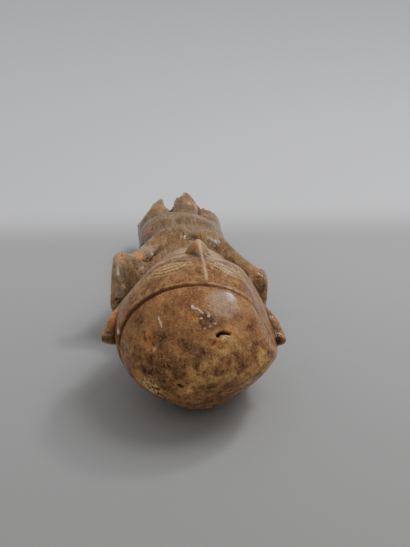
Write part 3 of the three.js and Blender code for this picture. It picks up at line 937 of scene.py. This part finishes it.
tone = blend(reckon("MULTIPLY", mask("pale_grey"), between(mottle, 0.4, 0.6, 0.45, 0.9)), tone, PALE_GREY_TAN)
# Dark stains, and painted shade in the hairline groove, at the ears' fronts and on the right upper arm.
tone = blend(reckon("MULTIPLY", mask("stain_and_shade"), between(mottle, 0.3, 0.6, 0.95, 0.55)), tone, DEEP)
gilding = reckon("MAXIMUM", between(mottle, 0.4, 0.6, 0.2, 0.8), reckon("MULTIPLY", mask("face"), 0.75))
tone = blend(reckon("MULTIPLY", mask("gold"), gilding), tone, GOLD)
reddening = reckon("MAXIMUM", between(mottle, 0.35, 0.6, 0.4, 0.85), reckon("MULTIPLY", mask("face"), 0.7))
tone = blend(reckon("MULTIPLY", mask("red"), reddening), tone, ORANGE)
ring_line = between(mask("ring"), 0.35, 0.95)
tone = blend(reckon("MULTIPLY", ring_line, between(cloudy, 0.4, 0.6, 0.08, 0.4)), tone, DEEP)
tone = blend(between(fibres, 0.55, 0.7, 0, 0.35), tone, LIGHT)
tone = blend(between(grit, 0.47, 0.3, 0, 0.6), tone, DEEP)
# Fine gold flecks: partly painted glints, partly gold specks of the patina.
tone = blend(between(grit, 0.56, 0.7, 0, 0.5), tone, GOLD)
tone = blend(reckon("MULTIPLY", mask("rubbed"), between(mottle, 0.35, 0.6, 0.05, 0.6)), tone, LIGHT)
tone = blend(reckon("MULTIPLY", mask("hollow"), 0.75), tone, DEEP)
# Pale raw wood of tears, galleries and lids, and the painted highlight along the nose's crest.
tone = blend(reckon("MULTIPLY", mask("raw_wood_and_ridge_highlight"), between(grit, 0.4, 0.6, 0.2, 0.8)), tone, PALE)
# Near-black painted shade in cracks, channels, pits and lid lines, and the tar.
tone = blend(mask("crevice_shade_and_tar"), tone, SHADE_AND_TAR_BLACK)
# Painted highlights: the glint lines and the flecks on the tar.
tone = blend(reckon("MULTIPLY", mask("painted_glints"), 0.9), tone, GLINT_WHITE)
fed(shader.inputs["Base Color"], tone)

gloss = between(mottle, 0.3, 0.7, 0.12, 0.3)
gloss = reckon("ADD", gloss, between(grit, 0.3, 0.7, -0.04, 0.1))
gloss = reckon("ADD", gloss, reckon("MULTIPLY", mask("raw_wood_and_ridge_highlight"), 0.3))
gloss = reckon("ADD", gloss, reckon("MULTIPLY", mask("hollow"), 0.2))
gloss = reckon("SUBTRACT", gloss, reckon("MULTIPLY", mask("tar"), 0.2))
gloss = reckon("ADD", gloss, reckon("MULTIPLY", mask("face"), 0.14))
fed(shader.inputs["Roughness"], reckon("MAXIMUM", gloss, 0.06))
shader.inputs["IOR"].default_value = 1.1
shader.inputs["Specular IOR Level"].default_value = 0.15
shader.inputs["Coat Weight"].default_value = 0.38
shader.inputs["Coat Roughness"].default_value = 0.2

bump = nodes.new("ShaderNodeBump")
bump.inputs["Strength"].default_value = 0.8
bump.inputs["Distance"].default_value = 0.00025
height = reckon("ADD", reckon("MULTIPLY", grit, 0.7), reckon("MULTIPLY", fibres, 0.45))
height = reckon("ADD", height, reckon("MULTIPLY", mottle, 0.5))
fed(bump.inputs["Height"], height)
fed(shader.inputs["Normal"], bump.outputs[0])
mesh.materials.clear()
mesh.materials.append(wood)

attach(figure_object, "root")
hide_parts("carved_figure")

# Camera at the photo's angle: place in metres, angles down and sideways in degrees, and the photo's focal
# length and width in its pixels.
CAMERA_PLACE = ((SIDE_SHIFT - 24.0) / 1000, -0.420, 0.2236)
CAMERA_DOWN, CAMERA_TURN = 25, -4.3
FOCAL_PIXELS, PHOTO_WIDTH = 950, 410
SENSOR_WIDTH = 36
camera = bpy.data.cameras.new("camera")
camera.sensor_fit = "HORIZONTAL"
camera.sensor_width = SENSOR_WIDTH
camera.lens = SENSOR_WIDTH * FOCAL_PIXELS / PHOTO_WIDTH
camera.clip_start = 0.01
camera_object = bpy.data.objects.new("camera", camera)
camera_object.location = CAMERA_PLACE
camera_object.rotation_euler = (math.radians(90 - CAMERA_DOWN), 0, math.radians(CAMERA_TURN))
bpy.context.collection.objects.link(camera_object)
bpy.context.scene.camera = camera_object

# A plain level floor, paler behind the figure and darker towards the camera as painted shade: half its size,
# its tones, and where along y one tone eases into the next.
FLOOR_HALF = 3.0
SHADED_NEAR_TONE, MIDDLE_TONE, FAR_TONE = (0.28, 0.277, 0.27), (0.40, 0.4, 0.401), (0.72, 0.725, 0.745)
NEAR_TO_MIDDLE, MIDDLE_TO_FAR = (-0.25, 0.12), (0.1, 0.165)
floor_mesh = bpy.data.meshes.new("floor")
corners = [(x * FLOOR_HALF, y * FLOOR_HALF, 0) for x, y in ((-1, -1), (1, -1), (1, 1), (-1, 1))]
floor_mesh.from_pydata(corners, [], [(0, 1, 2, 3)])
floor = bpy.data.objects.new("floor", floor_mesh)
bpy.context.collection.objects.link(floor)
paper = bpy.data.materials.new("paper")
paper.use_nodes = True
nodes = paper.node_tree.nodes
links = paper.node_tree.links
where = nodes.new("ShaderNodeSeparateXYZ")
fed(where.inputs[0], nodes.new("ShaderNodeTexCoord").outputs["Object"])
paper_tone = blend(between(where.outputs[1], *NEAR_TO_MIDDLE), SHADED_NEAR_TONE, MIDDLE_TONE)
paper_tone = blend(between(where.outputs[1], *MIDDLE_TO_FAR), paper_tone, FAR_TONE)
fed(nodes["Principled BSDF"].inputs["Base Color"], paper_tone)
nodes["Principled BSDF"].inputs["Roughness"].default_value = 0.75
floor_mesh.materials.append(paper)


# A place on the cap, where the key light is mirrored. Then each light: direction from there, distance, width,
# watts and colour.
CROWN = (0.013, -0.083, 0.056)
KEY_LIGHT = ((0.52, 0.39, 0.76), 0.6, 0.09, 0.95, (1.0, 0.98, 0.97))
SOFT_LIGHT = ((0.46, 0.11, 0.86), 1.3, 0.75, 7.5, (0.95, 0.97, 1.0))
ROOM_TONE = (0.52, 0.52, 0.52, 1)


def area_light(name, towards, distance, size, watts, colour):
    """A round light that looks at the crown of the head from a direction."""
    light = bpy.data.lights.new(name, "AREA")
    light.shape = "DISK"
    light.energy = watts
    light.size = size
    light.color = colour
    holder = bpy.data.objects.new(name, light)
    direction = Vector(towards).normalized()
    holder.location = Vector(CROWN) + direction * distance
    holder.rotation_euler = direction.to_track_quat("Z", "Y").to_euler()
    bpy.context.collection.objects.link(holder)


area_light("key", *KEY_LIGHT)
area_light("soft", *SOFT_LIGHT)

world = bpy.data.worlds.new("world")
world.use_nodes = True
world.node_tree.nodes["Background"].inputs[0].default_value = ROOM_TONE
bpy.context.scene.world = world
